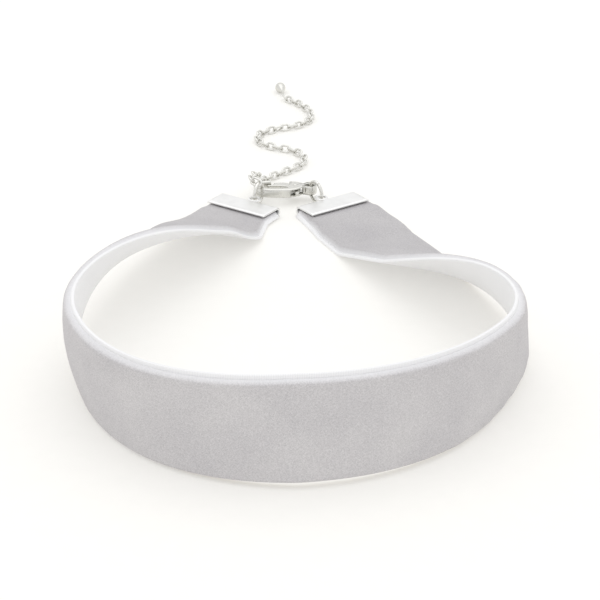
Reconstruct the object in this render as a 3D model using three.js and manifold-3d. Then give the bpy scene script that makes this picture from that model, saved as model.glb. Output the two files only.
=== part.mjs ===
// A choker necklace lying as it was put down: a velvet ribbon standing on its lower edge at the front and
// turning its face up towards its two metal ends, a lobster clasp that joins them, and an extender chain.
// Millimetres, +Z up. The wearer's front faces -Y. The origin is on the floor, under the middle of the whole.
import * as THREE from "three";
import { mergeVertices } from "three/addons/utils/BufferGeometryUtils.js";
import Module from "manifold-3d";

const wasm = await Module();
wasm.setup();

// ---- driving dimensions ----

const GAP = 0.3; // left between pieces that touch
const DEGREE = Math.PI / 180;

const RIBBON = {
  width: 20,
  thickness: 1.6,
  edgeBevel: 0.4,
  pinchedThickness: 0.8, // where a clamp bites it
  pinchLength: 4, // how soon it thins before a clamp
  insideClamp: 5.4,
  step: 3, // between two sections
  frontHeight: 10.6, // of its middle line
  frontLean: -5.6, // degrees, of its upper edge towards the wearer
  frontRise: 0.7, // degrees, of its run towards the wearer's left
  turn: 3, // degrees, of the whole about Z
  settleLength: 24, // the stretch before each clamp that comes to lie level
};

// How each half runs from the middle of the front to its clamp: along in mm, bend towards the wearer and
// twist that lays the upper edge inwards, both in degrees per centimetre.
const RUN = {
  left: [
    { along: 0, bend: 13, twist: -4 },
    { along: 25, bend: 16, twist: -3 },
    { along: 50, bend: 14, twist: 0 },
    { along: 65, bend: 13, twist: 15 },
    { along: 80, bend: 6, twist: 15 },
    { along: 105, bend: 6, twist: 12 },
    { along: 125, bend: -4, twist: 8 },
    { along: 146, bend: -4, twist: 2 },
  ],
  right: [
    { along: 0, bend: 13, twist: -2 },
    { along: 45, bend: 13, twist: -3 },
    { along: 60, bend: 20, twist: 18 },
    { along: 75, bend: 9, twist: 18 },
    { along: 100, bend: 2, twist: 9 },
    { along: 125, bend: -6, twist: 9 },
    { along: 147, bend: -4, twist: -2 },
  ],
};

const CLAMP = {
  width: 16,
  depth: 6.8,
  plate: 0.5,
  yaw: 9, // degrees, turned against the ribbon's run
  loopRadius: 1.6,
  loopHole: 1.0,
  loopThickness: 0.6,
  loopHeight: 2.0,
};
const CLAMP_ASIDE = { left: 1.8, right: 0.9 }; // a clamp's middle from the ribbon's, towards its lower edge
const CLAMP_HEIGHT = 2 * CLAMP.plate + 2 * GAP + RIBBON.pinchedThickness;

// The corner of the ribbon beside each clamp is folded down along a crease that starts at the clamp's corner.
// It reaches past that corner at the clamp's mouth and at the ribbon's tip.
const FLAP = {
  length: 9,
  drop: { left: 0.4, right: 0.75 },
  pastMouth: { left: 1.2, right: 2 },
  pastTip: { left: 0.7, right: 0.9 },
};

const RING = { radius: 2.4, wire: 0.4, height: 2.85 }; // of its centre line; its centre's height
const RIGHT_RING_HEADING = 125; // degrees from +X, the way the right ring reaches from its clamp

const CLASP = {
  thickness: 2.2,
  bevel: 0.3,
  height: 2.85, // of its middle plane
  eye: [5.9, 0],
  eyeRadius: 1.7,
  eyeHole: 1.1,
  ringSeat: -5.15, // along it, where the left ring crosses the hook
  slotWidth: 1.5,
  pivot: [2.4, 0.2],
  pin: 0.45,
};
const LEVER = { thickness: 0.9, hole: 0.75, boss: 1.3 };

const CHAIN = { radius: 1.1, sides: 8, steps: 78 };
// The chain's middle line, from the left ring to its last link: right and back from the ring's centre, and height.
const CHAIN_ROUTE = [
  [-1.7, 0.6, 5.4],
  [-1.5, 3, 5.5],
  [-1.1, 5.4, 5.4],
  [-0.6, 7.4, 4.4],
  [0, 9.2, 2.9],
  [0.7, 11.4, 1.6],
  [2.5, 15, 1.15],
  [6.5, 19, 1.15],
  [10, 23.5, 1.15],
  [10.5, 29, 1.15],
  [7.5, 33.5, 1.15],
  [2.5, 36, 1.15],
  [-1, 40, 1.15],
  [-0.5, 45.5, 1.15],
  [4, 49.5, 1.15],
  [9, 52, 1.15],
  [12.5, 57, 1.15],
  [12, 63.5, 1.15],
  [9.5, 69, 1.15],
  [6, 73.5, 1.15],
  [5, 77, 1.15],
];
const DROP = { length: 6, radius: 1.4, heading: 100 };

// ---- colours ----

function metal(colour) {
  return new THREE.MeshStandardMaterial({ color: colour, roughness: 0.25, metalness: 1 });
}

const VELVET = new THREE.MeshStandardMaterial({ color: 0xc8c6c7, roughness: 1, metalness: 0 });
const SILVER = metal(0xd9d8d2);

// ---- solids ----

function solidOf(geometry) {
  const bare = geometry.clone();
  bare.deleteAttribute("normal");
  bare.deleteAttribute("uv");
  const merged = mergeVertices(bare, 1e-4);
  return new wasm.Manifold(
    new wasm.Mesh({
      numProp: 3,
      vertProperties: merged.attributes.position.array,
      triVerts: new Uint32Array(merged.index.array),
    }),
  );
}

function geometryOf(solid) {
  const { vertProperties, triVerts } = solid.getMesh();
  const geometry = new THREE.BufferGeometry();
  geometry.setAttribute("position", new THREE.BufferAttribute(new Float32Array(vertProperties), 3));
  geometry.setIndex(new THREE.BufferAttribute(new Uint32Array(triVerts), 1));
  geometry.computeVertexNormals();
  return geometry;
}

function joined(...geometries) {
  return geometryOf(geometries.map(solidOf).reduce((all, next) => all.add(next)));
}

function cut(geometry, ...tools) {
  return geometryOf(tools.map(solidOf).reduce((rest, tool) => rest.subtract(tool), solidOf(geometry)));
}

function mesh(name, geometry, material) {
  const made = new THREE.Mesh(geometry, material);
  made.name = name;
  return made;
}

// A flat outline given a thickness, its middle plane at z = 0.
function plate(shape, thickness, bevel = 0) {
  const geometry = new THREE.ExtrudeGeometry(shape, {
    depth: thickness - 2 * bevel,
    bevelEnabled: bevel > 0,
    bevelThickness: bevel,
    bevelSize: bevel,
    bevelOffset: -bevel,
    bevelSegments: 1,
    curveSegments: 10,
  });
  return geometry.translate(0, 0, bevel - thickness / 2);
}

function disc(radius, thickness, [x, y] = [0, 0], sides = 20) {
  const geometry = new THREE.CylinderGeometry(radius, radius, thickness, sides);
  return geometry.rotateX(90 * DEGREE).translate(x, y, 0);
}

// ---- the ribbon ----

function valueAt(rows, along, column) {
  const next = rows.findIndex((row) => row.along >= along);
  if (next <= 0) return rows[Math.max(next, 0)][column];
  const [before, after] = [rows[next - 1], rows[next]];
  const part = (along - before.along) / (after.along - before.along);
  return before[column] + part * (after[column] - before[column]);
}

// The ribbon's middle line and its directions: forward along it, up across its width and out of its pile.
// side is 1 for the half on +X and -1 for the other, which is worked out as its mirror image.
function halfRibbon(rows, side) {
  const length = rows.at(-1).along;
  const count = Math.round(length / RIBBON.step);
  const stride = length / count;
  const rise = side * RIBBON.frontRise * DEGREE;
  const lean = RIBBON.frontLean * DEGREE;
  const forward = new THREE.Vector3(Math.cos(rise), 0, Math.sin(rise));
  const up = new THREE.Vector3(0, -Math.sin(lean), Math.cos(lean));
  up.addScaledVector(forward, -up.dot(forward)).normalize();
  const middle = new THREE.Vector3(0, 0, RIBBON.frontHeight);
  const stations = [];
  for (let i = 0; i <= count; i++) {
    stations.push({ along: i * stride, middle: middle.clone(), forward: forward.clone(), up: up.clone() });
    const half = (i + 0.5) * stride;
    const bend = (valueAt(rows, half, "bend") * DEGREE) / 10;
    const twist = (valueAt(rows, half, "twist") * DEGREE) / 10;
    const spin = up.clone().multiplyScalar(bend).addScaledVector(forward, -twist);
    const angle = spin.length() * stride;
    spin.normalize();
    middle.addScaledVector(forward.clone().applyAxisAngle(spin, angle / 2), stride);
    forward.applyAxisAngle(spin, angle);
    up.applyAxisAngle(spin, angle);
  }
  return stations.map((station) => placed(station, side, length));
}

// Mirrors the other half, turns the whole to its place and brings the last stretch level at the clamp's height.
function placed({ along, middle, forward, up }, side, length) {
  const turned = [middle, forward, up].map((v) =>
    v.set(side * v.x, v.y, v.z).applyAxisAngle(new THREE.Vector3(0, 0, 1), RIBBON.turn * DEGREE),
  );
  const start = length - RIBBON.settleLength;
  const level = THREE.MathUtils.smoothstep(along, start, length - RIBBON.pinchLength);
  turned[0].z += level * (CLAMP_HEIGHT / 2 - turned[0].z);
  turned[1].z *= 1 - level;
  turned[2].z *= 1 - level;
  turned[1].normalize();
  turned[2].addScaledVector(turned[1], -turned[2].dot(turned[1])).normalize();
  const out = turned[1].clone().cross(turned[2]).multiplyScalar(side);
  return { side: side > 0 ? "right" : "left", along, length, middle: turned[0], forward: turned[1], up: turned[2], out };
}

// Where the two clamps sit: the middle of a clamp's mouth and its own directions.
function clampSeat(stations) {
  const end = stations.at(-1);
  const yaw = CLAMP.yaw * DEGREE;
  const across = end.up.clone().multiplyScalar(Math.cos(yaw)).addScaledVector(end.forward, -Math.sin(yaw));
  const forward = end.forward.clone().multiplyScalar(Math.cos(yaw)).addScaledVector(end.up, Math.sin(yaw));
  const mouth = end.middle.clone().addScaledVector(across, -CLAMP_ASIDE[end.side]);
  return { mouth, forward, across, end };
}

// Where the crease and the edge beyond it cross a section, across the ribbon, and how far that edge falls.
function flapAt({ side, along, length }) {
  const clampCorner = CLAMP.width / 2 - CLAMP_ASIDE[side];
  const left = THREE.MathUtils.clamp((length - along) / FLAP.length, 0, 1);
  const crease = THREE.MathUtils.lerp(clampCorner, RIBBON.width / 2 - 1, left);
  const hidden = THREE.MathUtils.clamp((along - length) / RIBBON.insideClamp, 0, 1);
  const past = THREE.MathUtils.lerp(FLAP.pastMouth[side], FLAP.pastTip[side], hidden);
  const edge = THREE.MathUtils.lerp(clampCorner + past, RIBBON.width / 2, left);
  return { crease, edge, drop: FLAP.drop[side] * (1 - left) };
}

// One section of the ribbon: its corners, bevelled, at a station's width and thickness. Where it would dip
// into the floor it rests on it.
function ribbonSection(station) {
  const { along, length, middle, forward, up, out } = station;
  const near = THREE.MathUtils.smoothstep(along, length - 4 * RIBBON.pinchLength, length);
  const pinch = THREE.MathUtils.smoothstep(along, length - RIBBON.pinchLength, length - GAP);
  const thickness = THREE.MathUtils.lerp(RIBBON.thickness, RIBBON.pinchedThickness, pinch);
  const bevel = Math.min(RIBBON.edgeBevel, thickness / 2.5);
  const { crease, edge, drop } = flapAt(station);
  const [w, t] = [RIBBON.width / 2, thickness / 2];
  const corners = [
    [crease, -t],
    [edge - bevel, -t - drop],
    [edge, -t + bevel - drop],
    [edge, t - bevel - drop],
    [edge - bevel, t - drop],
    [crease, t],
    [-w + bevel, t],
    [-w, t - bevel],
    [-w, -t + bevel],
    [-w + bevel, -t],
  ];
  const skew = -Math.tan(CLAMP.yaw * DEGREE) * near;
  const points = corners.map(([across, outwards]) =>
    middle
      .clone()
      .addScaledVector(up, across)
      .addScaledVector(forward, across * skew)
      .addScaledVector(out, outwards),
  );
  const dip = Math.min(0, ...points.map((point) => point.z));
  points.forEach((point) => (point.z -= dip));
  return points;
}

// A closed skin over a row of sections that all have the same number of corners.
function skin(sections) {
  const sides = sections[0].length;
  const points = sections.flat().flatMap((p) => [p.x, p.y, p.z]);
  const faces = [];
  for (let i = 0; i + 1 < sections.length; i++) {
    for (let j = 0; j < sides; j++) {
      const [a, b] = [i * sides + j, i * sides + ((j + 1) % sides)];
      faces.push(a, b, a + sides, b, b + sides, a + sides);
    }
  }
  const last = (sections.length - 1) * sides;
  for (let j = 1; j + 1 < sides; j++) {
    faces.push(0, j + 1, j);
    faces.push(last, last + j, last + j + 1);
  }
  const geometry = new THREE.BufferGeometry();
  geometry.setAttribute("position", new THREE.Float32BufferAttribute(points, 3));
  geometry.setIndex(faces);
  return geometry;
}

const halves = { left: halfRibbon(RUN.left, -1), right: halfRibbon(RUN.right, 1) };
const seats = { left: clampSeat(halves.left), right: clampSeat(halves.right) };

// The stretch that a clamp hides.
function insideClamp(seat) {
  const { end, forward } = seat;
  const middle = end.middle.clone().addScaledVector(forward, RIBBON.insideClamp);
  const tip = { ...end, along: end.along + RIBBON.insideClamp, middle };
  return ribbonSection(tip);
}

function velvetRibbon() {
  const left = [...halves.left.slice(1).map(ribbonSection), insideClamp(seats.left)];
  const right = [...halves.right.map(ribbonSection), insideClamp(seats.right)];
  return mesh("velvet_ribbon", skin([...left.reverse(), ...right]), VELVET);
}

// ---- the folded metal ends ----

// In its own frame: x from the mouth to the loop, y across, z up from its underside.
function endClamp(name, { mouth, forward }) {
  const { width, depth, plate: sheet, loopRadius, loopHole, loopThickness, loopHeight } = CLAMP;
  const radius = CLAMP_HEIGHT / 2;
  const fold = new THREE.Shape();
  fold.moveTo(0, 0);
  fold.lineTo(depth - radius, 0);
  fold.absarc(depth - radius, radius, radius, -Math.PI / 2, Math.PI / 2, false);
  fold.lineTo(0, CLAMP_HEIGHT);
  fold.lineTo(0, CLAMP_HEIGHT - sheet);
  fold.lineTo(depth - radius, CLAMP_HEIGHT - sheet);
  fold.absarc(depth - radius, radius, radius - sheet, Math.PI / 2, -Math.PI / 2, true);
  fold.lineTo(0, sheet);
  const jaws = plate(fold, width).rotateX(90 * DEGREE);
  const loop = disc(loopRadius, loopThickness, [depth + loopHole, 0]).translate(0, 0, loopHeight);
  const hole = disc(loopHole, 3 * loopThickness, [depth + loopHole, 0]).translate(0, 0, loopHeight);
  const made = mesh(name, cut(joined(jaws, loop), hole), SILVER);
  made.position.set(mouth.x, mouth.y, 0);
  made.rotation.z = Math.atan2(forward.y, forward.x);
  return made;
}

function loopCentre({ mouth, forward }) {
  return mouth.clone().addScaledVector(forward, CLAMP.depth + CLAMP.loopHole).setZ(CLAMP.loopHeight);
}

// ---- the jump rings ----

// A ring stands on edge. Its wire passes through a clamp's loop on one side and holds the clasp on the other.
const LOOP_REACH = Math.sqrt(RING.radius ** 2 - (RING.height - CLAMP.loopHeight) ** 2);
const CLASP_REACH = Math.sqrt(RING.radius ** 2 - (RING.height - CLASP.height) ** 2);

function fromLoop(side, heading, distance, height) {
  return loopCentre(seats[side])
    .add(new THREE.Vector3(distance * Math.cos(heading), distance * Math.sin(heading), 0))
    .setZ(height);
}

function farSide(side, heading) {
  return fromLoop(side, heading, LOOP_REACH + CLASP_REACH, CLASP.height);
}

// The left ring turns until the clasp, whose eye is on the right ring, has it at the seat in its hook.
function leftRingHeading(rightHeading) {
  const toEye = farSide("right", rightHeading).sub(loopCentre(seats.left)).setZ(0);
  const reach = LOOP_REACH + CLASP_REACH;
  const span = CLASP.eye[0] - CLASP.ringSeat;
  const opening = (reach ** 2 + toEye.lengthSq() - span ** 2) / (2 * reach * toEye.length());
  return Math.atan2(toEye.y, toEye.x) + Math.acos(opening);
}

const ringHeading = { right: RIGHT_RING_HEADING * DEGREE };
ringHeading.left = leftRingHeading(ringHeading.right);

function ringCentre(side) {
  return fromLoop(side, ringHeading[side], LOOP_REACH, RING.height);
}

function jumpRing(side) {
  const geometry = new THREE.TorusGeometry(RING.radius, RING.wire, 8, 28).rotateX(90 * DEGREE);
  const made = mesh(`${side}_jump_ring`, geometry, SILVER);
  made.position.copy(ringCentre(side));
  made.rotation.z = ringHeading[side];
  return made;
}

// ---- the clasp: x from its hook to its eye, y from its spine to its lever ----

function claspOutline() {
  const [eyeX] = CLASP.eye;
  const meet = 145 * DEGREE; // round the eye, where it runs into the body
  const [meetX, meetY] = [eyeX + CLASP.eyeRadius * Math.cos(meet), CLASP.eyeRadius * Math.sin(meet)];
  const outline = new THREE.Shape();
  outline.moveTo(1.1, 2.3);
  outline.bezierCurveTo(2.6, 2.4, 3.4, 1.9, meetX, meetY);
  outline.absarc(eyeX, 0, CLASP.eyeRadius, meet, -meet, true);
  outline.bezierCurveTo(3.4, -2.1, 2.4, -3.1, 0, -3.2);
  outline.bezierCurveTo(-5.0, -3.3, -7.4, -2.3, -7.4, 0.1);
  outline.bezierCurveTo(-7.4, 2.4, -5.6, 3.2, -3.3, 3.1);
  outline.lineTo(-3.2, 2.2);
  outline.bezierCurveTo(-5.0, 2.2, -6.1, 1.5, -6.1, 0.1);
  outline.bezierCurveTo(-6.1, -1.5, -4.4, -2.0, -1.0, -1.9);
  outline.bezierCurveTo(0.4, -1.9, 0.9, -1.4, 0.9, -0.6);
  outline.lineTo(1.1, 2.3);
  return outline;
}

function leverOutline() {
  const [x, y] = CLASP.pivot;
  const outline = new THREE.Shape();
  outline.moveTo(x + 0.2, y + LEVER.boss);
  outline.bezierCurveTo(1.6, 2.6, 0.6, 3.1, -1.0, 3.1);
  outline.lineTo(-2.5, 3.0);
  outline.lineTo(-2.8, 1.8);
  outline.lineTo(-4.1, 1.7);
  outline.lineTo(-4.1, 1.1);
  outline.bezierCurveTo(-2.4, 1.2, -0.4, 1.3, 1.1, 0.2);
  outline.absarc(x, y, LEVER.boss, Math.PI, 1.4 * Math.PI, false);
  outline.lineTo(x - 0.1, -3.0);
  outline.bezierCurveTo(x - 0.2, -4.0, x + 1.0, -4.0, x + 0.9, -3.0);
  outline.lineTo(x + 0.9, -1.0);
  outline.absarc(x, y, LEVER.boss, -0.3 * Math.PI, 0.4 * Math.PI, false);
  return outline;
}

// The slot that the lever swings in, cut through the base from the hook's inside to the spine.
function leverSlot() {
  const [x, y] = CLASP.pivot;
  const slot = new THREE.Shape();
  slot.moveTo(x - 2.4, 4);
  slot.lineTo(x - 2.4, y - 1.2);
  slot.lineTo(x - 1.2, y - 1.2);
  slot.lineTo(x - 1.1, -5);
  slot.lineTo(x + 2.6, -5);
  slot.lineTo(x + 1.7, y);
  slot.lineTo(x + 1.7, 4);
  return plate(slot, CLASP.slotWidth);
}

function claspGroup() {
  const group = new THREE.Group();
  const body = cut(
    plate(claspOutline(), CLASP.thickness, CLASP.bevel),
    disc(CLASP.eyeHole, 2 * CLASP.thickness, CLASP.eye),
    leverSlot(),
  );
  const pin = disc(CLASP.pin, CLASP.thickness - 0.2, CLASP.pivot, 12);
  const lever = cut(
    plate(leverOutline(), LEVER.thickness, 0.15),
    disc(LEVER.hole, 2 * LEVER.thickness, CLASP.pivot, 16),
  );
  group.add(mesh("clasp_body", joined(body, pin), SILVER), mesh("clasp_lever", lever, SILVER));
  const eye = farSide("right", ringHeading.right);
  const back = eye.clone().sub(farSide("left", ringHeading.left));
  group.rotation.z = Math.atan2(back.y, back.x);
  const inset = new THREE.Vector3(...CLASP.eye, 0).applyEuler(group.rotation);
  group.position.copy(eye).sub(inset);
  return group;
}

// ---- the extender chain and its drop ----

function extenderChain() {
  const route = new THREE.CatmullRomCurve3(CHAIN_ROUTE.map((point) => new THREE.Vector3(...point)));
  const section = new THREE.Shape();
  for (let i = 0; i < CHAIN.sides; i++) {
    const angle = ((i + 0.5) / CHAIN.sides) * 2 * Math.PI;
    const [x, y] = [CHAIN.radius * Math.cos(angle), CHAIN.radius * Math.sin(angle)];
    if (i) section.lineTo(x, y);
    else section.moveTo(x, y);
  }
  const tube = new THREE.ExtrudeGeometry(section, { steps: CHAIN.steps, extrudePath: route });
  const made = mesh("extender_chain", tube, SILVER);
  made.position.copy(ringCentre("left")).setZ(0);
  return made;
}

function chainEndDrop() {
  const { length, radius } = DROP;
  const profile = [[0, 0]];
  for (let i = 1; i < 12; i++) {
    const part = i / 12;
    profile.push([radius * Math.sin(Math.PI * part ** 1.6), length * part]);
  }
  profile.push([0, length]);
  const drop = new THREE.LatheGeometry(
    profile.map(([r, y]) => new THREE.Vector2(r, y)),
    14,
  );
  const made = mesh("chain_end_drop", drop, SILVER);
  const [x, y] = CHAIN_ROUTE.at(-1);
  const heading = DROP.heading * DEGREE;
  const away = new THREE.Vector3(Math.cos(heading), Math.sin(heading), 0).multiplyScalar(2 * GAP);
  made.position.copy(ringCentre("left")).setZ(radius).add(away).add(new THREE.Vector3(x, y, 0));
  made.rotation.z = heading - 90 * DEGREE;
  return made;
}

// ---- the whole ----

const necklace = new THREE.Group();
necklace.add(
  velvetRibbon(),
  endClamp("left_end_clamp", seats.left),
  endClamp("right_end_clamp", seats.right),
  jumpRing("left"),
  jumpRing("right"),
  claspGroup(),
  extenderChain(),
  chainEndDrop(),
);
necklace.updateMatrixWorld(true);
const box = new THREE.Box3().setFromObject(necklace, true);
const centre = box.getCenter(new THREE.Vector3());
necklace.position.set(-centre.x, -centre.y, -box.min.z);

export default necklace;
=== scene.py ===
"""A velvet ribbon choker lying closed on a pale floor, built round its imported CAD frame. Metres, +Z up."""

import math
import random

import bmesh
import bpy
from mathutils import Matrix, Quaternion, Vector, noise


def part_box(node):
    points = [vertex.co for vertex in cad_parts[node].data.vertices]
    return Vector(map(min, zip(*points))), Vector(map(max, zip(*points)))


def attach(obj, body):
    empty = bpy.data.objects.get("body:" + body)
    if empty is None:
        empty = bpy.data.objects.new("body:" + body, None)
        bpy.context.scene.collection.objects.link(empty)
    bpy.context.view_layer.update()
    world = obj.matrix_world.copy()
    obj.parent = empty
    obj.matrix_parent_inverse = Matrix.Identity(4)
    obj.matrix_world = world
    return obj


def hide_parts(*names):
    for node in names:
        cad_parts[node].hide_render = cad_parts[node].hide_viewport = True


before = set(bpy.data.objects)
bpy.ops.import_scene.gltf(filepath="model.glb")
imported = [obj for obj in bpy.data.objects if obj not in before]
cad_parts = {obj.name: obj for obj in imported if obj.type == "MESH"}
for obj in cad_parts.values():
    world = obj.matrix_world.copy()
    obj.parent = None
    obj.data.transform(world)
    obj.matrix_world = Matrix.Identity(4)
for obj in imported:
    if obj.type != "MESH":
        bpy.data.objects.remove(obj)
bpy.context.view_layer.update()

MM = 0.001
UP = Vector((0, 0, 1))
chance = random.Random(7)

# ---- the necklace's own dimensions, in millimetres, as its CAD source has them ----

GAP = 0.3
WIDTH, THICKNESS, PINCHED = 20.0, 1.6, 0.8
PINCH_LENGTH, INSIDE_CLAMP, STEP = 4.0, 5.4, 3.0
FRONT_HEIGHT, FRONT_LEAN, FRONT_RISE, TURN = 10.6, -5.6, 0.7, 3.0
SETTLE_LENGTH = 24.0
SKEW_LENGTH = 4 * PINCH_LENGTH
# How each half runs: along in mm, bend and twist in degrees per centimetre.
RUN = {
    "left": [
        (0, 13, -4), (25, 16, -3), (50, 14, 0), (65, 13, 15),
        (80, 6, 15), (105, 6, 12), (125, -4, 8), (146, -4, 2),
    ],
    "right": [
        (0, 13, -2), (45, 13, -3), (60, 20, 18), (75, 9, 18),
        (100, 2, 9), (125, -6, 9), (147, -4, -2),
    ],
}
CLAMP_WIDTH, CLAMP_DEPTH, PLATE, CLAMP_YAW = 16.0, 6.8, 0.5, 9.0
LOOP_RADIUS, LOOP_HOLE, LOOP_THICKNESS, LOOP_HEIGHT = 1.6, 1.0, 0.6, 2.0
CLAMP_ASIDE = {"left": 1.8, "right": 0.9}
CLAMP_HEIGHT = 2 * PLATE + 2 * GAP + PINCHED
FLAP_LENGTH, FLAP_WIDTH = 9.0, 1.0
FLAP_DROP = {"left": 0.4, "right": 0.75}
PAST_MOUTH = {"left": 1.2, "right": 2.0}
PAST_TIP = {"left": 0.7, "right": 0.9}
RING_RADIUS, RING_WIRE, RING_HEIGHT = 2.4, 0.4, 2.85
RIGHT_RING_HEADING = 125.0
CLASP_HEIGHT, CLASP_THICKNESS = 2.85, 2.2
EYE_X, EYE_RADIUS, EYE_HOLE, RING_SEAT = 5.9, 1.7, 1.1, -5.15
PIVOT = (2.4, 0.2)
SLOT_WIDTH, LEVER_THICKNESS, LEVER_BOSS = 1.5, 0.9, 1.3


def lerp(a, b, t):
    return a + (b - a) * t


def clamped(t):
    return max(0.0, min(1.0, t))


def smooth(t, low, high):
    x = clamped((t - low) / (high - low))
    return x * x * (3 - 2 * x)


# ---- the ribbon's run ----


def rates(rows, along):
    for before, after in zip(rows, rows[1:]):
        if along <= after[0]:
            part = (along - before[0]) / (after[0] - before[0])
            return lerp(before[1], after[1], part), lerp(before[2], after[2], part)
    return rows[-1][1:]


class Half:
    """One half of the ribbon: its middle line and directions, from the front's middle to its clamp."""

    def __init__(self, name):
        self.name, self.side = name, 1 if name == "right" else -1
        rows = RUN[name]
        self.length = rows[-1][0]
        count = round(self.length / STEP)
        stride = self.length / count
        rise, lean = math.radians(self.side * FRONT_RISE), math.radians(FRONT_LEAN)
        forward = Vector((math.cos(rise), 0, math.sin(rise)))
        up = Vector((0, -math.sin(lean), math.cos(lean)))
        up = (up - forward * up.dot(forward)).normalized()
        middle = Vector((0, 0, FRONT_HEIGHT))
        self.stations = []
        for i in range(count + 1):
            self.stations.append(self.placed(i * stride, middle, forward, up))
            bend, twist = (math.radians(v) / 10 for v in rates(rows, (i + 0.5) * stride))
            spin = up * bend - forward * twist
            angle = spin.length * stride
            spin.normalize()
            middle = middle + (Quaternion(spin, angle / 2) @ forward) * stride
            turn = Quaternion(spin, angle)
            forward, up = turn @ forward, turn @ up

    def placed(self, along, middle, forward, up):
        turn = Matrix.Rotation(math.radians(TURN), 3, "Z")
        middle, forward, up = (turn @ Vector((self.side * v.x, v.y, v.z)) for v in (middle, forward, up))
        level = smooth(along, self.length - SETTLE_LENGTH, self.length - PINCH_LENGTH)
        middle.z += level * (CLAMP_HEIGHT / 2 - middle.z)
        forward.z *= 1 - level
        up.z *= 1 - level
        forward.normalize()
        up = (up - forward * up.dot(forward)).normalized()
        return along, middle, forward, up

    def at(self, along):
        """Middle, forward, up and out, smooth between the stations. Past the last one it runs straight on."""
        last = len(self.stations) - 1
        stride = self.length / last
        if along >= self.length:
            _, middle, forward, up = self.stations[-1]
            middle = middle + self.seat()[1] * (along - self.length)
        else:
            i = min(last - 1, int(along / stride))
            t = along / stride - i
            p = [self.station(j)[1] for j in (i - 1, i, i + 1, i + 2)]
            middle = catmull(p, t)
            forward = self.station(i)[2].lerp(self.station(i + 1)[2], t).normalized()
            up = self.station(i)[3].lerp(self.station(i + 1)[3], t)
            up = (up - forward * up.dot(forward)).normalized()
        out = forward.cross(up) * self.side
        return middle, forward, up, out

    def station(self, index):
        """A station by its number. Number -1 is the other half's first one past the front's middle."""
        if index < 0:
            return HALVES["left" if self.side > 0 else "right"].stations[1]
        return self.stations[min(index, len(self.stations) - 1)]

    def seat(self):
        """The middle of the clamp's mouth and the way the clamp points."""
        _, middle, forward, up = self.stations[-1]
        yaw = math.radians(CLAMP_YAW)
        across = up * math.cos(yaw) - forward * math.sin(yaw)
        ahead = forward * math.cos(yaw) + up * math.sin(yaw)
        return middle - across * CLAMP_ASIDE[self.name], ahead

    def flap(self, along):
        """Where the crease and the upper edge cross the ribbon here, and how far that edge is folded down."""
        corner = CLAMP_WIDTH / 2 - CLAMP_ASIDE[self.name]
        left = clamped((self.length - along) / FLAP_LENGTH)
        hidden = clamped((along - self.length) / INSIDE_CLAMP)
        past = lerp(PAST_MOUTH[self.name], PAST_TIP[self.name], hidden)
        crease = lerp(corner, WIDTH / 2 - FLAP_WIDTH, left)
        return crease, lerp(corner + past, WIDTH / 2, left), FLAP_DROP[self.name] * (1 - left)

    def thickness(self, along):
        pinch = smooth(along, self.length - PINCH_LENGTH, self.length - GAP)
        return lerp(THICKNESS, PINCHED, pinch)

    def point(self, along, across, outwards):
        """A point of the ribbon: across its width from its middle line, and out from its middle layer."""
        middle, forward, up, out = self.at(along)
        crease, edge, drop = self.flap(along)
        if drop > 0 and across > crease:
            outwards -= drop * (across - crease) / (edge - crease)
        skew = -math.tan(math.radians(CLAMP_YAW)) * smooth(along, self.length - SKEW_LENGTH, self.length)
        return middle + up * across + forward * (across * skew) + out * outwards


def catmull(p, t):
    return 0.5 * (
        2 * p[1]
        + (p[2] - p[0]) * t
        + (2 * p[0] - 5 * p[1] + 4 * p[2] - p[3]) * t * t
        + (3 * p[1] - p[0] - 3 * p[2] + p[3]) * t * t * t
    )


HALVES = {name: Half(name) for name in RUN}


def cad_shift():
    """From these millimetres to the frame: the ribbon's own box, put where the CAD ribbon's box is."""
    points = []
    for half in HALVES.values():
        for along in [station[0] for station in half.stations] + [half.length + INSIDE_CLAMP]:
            _, edge, _ = half.flap(along)
            for across in (-WIDTH / 2, edge):
                for outwards in (-THICKNESS / 2, THICKNESS / 2):
                    points.append(half.point(along, across, outwards))
    low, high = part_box("velvet_ribbon")
    middle = [(min(p[i] for p in points) + max(p[i] for p in points)) / 2 for i in range(2)]
    return Vector((low.x + high.x, low.y + high.y, 0)) / 2 - Vector((*middle, 0)) * MM


SHIFT = cad_shift()


def in_frame(point):
    return Vector(point) * MM + SHIFT


# ---- making objects ----


def new_object(name, verts, faces, materials, body="necklace", smooth_faces=True):
    mesh = bpy.data.meshes.new(name)
    mesh.from_pydata([tuple(v) for v in verts], [], faces)
    mesh.validate()
    return finished(name, mesh, materials, body, smooth_faces)


def finished(name, mesh, materials, body="necklace", smooth_faces=True):
    obj = bpy.data.objects.new(name, mesh)
    bpy.context.scene.collection.objects.link(obj)
    for material in materials:
        mesh.materials.append(material)
    if smooth_faces:
        mesh.shade_smooth()
    outward(mesh)
    if body:
        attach(obj, body)
    return obj


def outward(mesh):
    bm = bmesh.new()
    bm.from_mesh(mesh)
    bmesh.ops.recalc_face_normals(bm, faces=bm.faces)
    bm.to_mesh(mesh)
    bm.free()


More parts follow.
